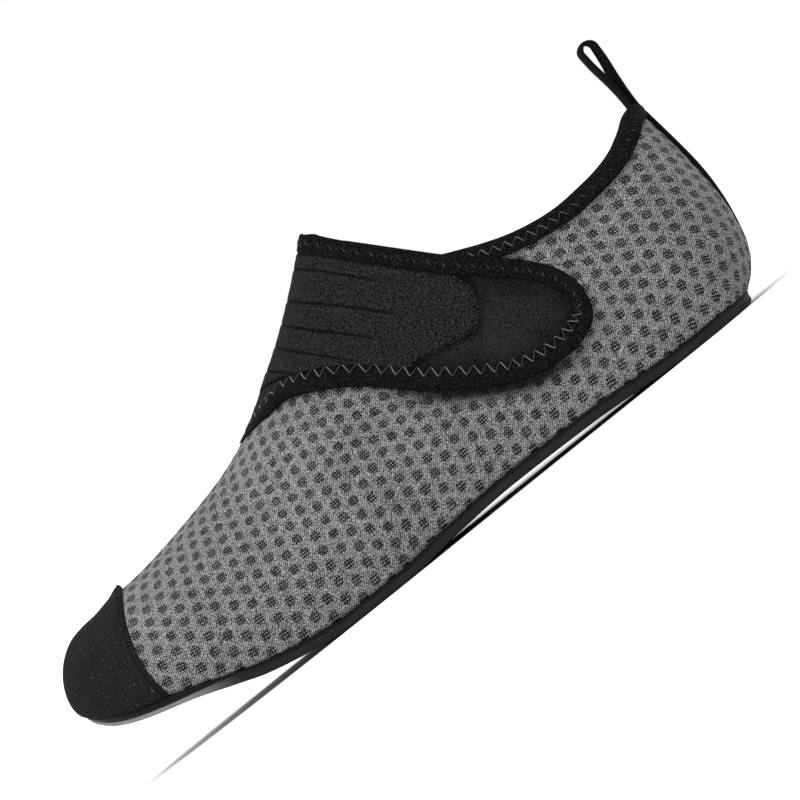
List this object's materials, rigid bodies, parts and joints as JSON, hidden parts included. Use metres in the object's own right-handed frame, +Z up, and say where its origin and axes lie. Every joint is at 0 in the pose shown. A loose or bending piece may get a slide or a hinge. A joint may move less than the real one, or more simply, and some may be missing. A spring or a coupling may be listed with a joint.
{
  "type": "water shoe",
  "caption": "Left water shoe: a mesh sock upper on a flexible rubber sole, closed over the instep by a padded strap, with a heel pull loop.",
  "frame": {"origin": "centre of the shoe's bounding box in plan, on the floor that it stands on", "axes": "+X from the toe to the heel, -Y to the outer side of the foot, +Z up"},
  "size_m": [0.2752, 0.097, 0.1112],
  "materials": {
    "sole_rubber": "matt moulded rubber, dark blue grey with a black upper rim",
    "insole_fabric": "flat knit cloth over thin foam",
    "mesh_knit": "grey air mesh knit with clusters of small dark holes",
    "cap_fabric": "black smooth coated cloth with a faint speckle",
    "ribbed_knit": "black fine-ribbed knit with faint pleats",
    "tab_fabric": "black short-napped cloth",
    "binding_tape": "black folded elastic tape with a grey zigzag stitch",
    "webbing": "black woven polyester tape"
  },
  "bodies": {
    "root": {"outsole": "sole_rubber", "insole": "insole_fabric", "upper": "mesh_knit", "toe_cap": "cap_fabric", "collar_binding": "binding_tape", "strap_panel": "ribbed_knit", "strap_tab": "tab_fabric", "strap_binding": "binding_tape", "heel_tape": "webbing", "pull_loop": "webbing"}
  },
  "joints": []
}
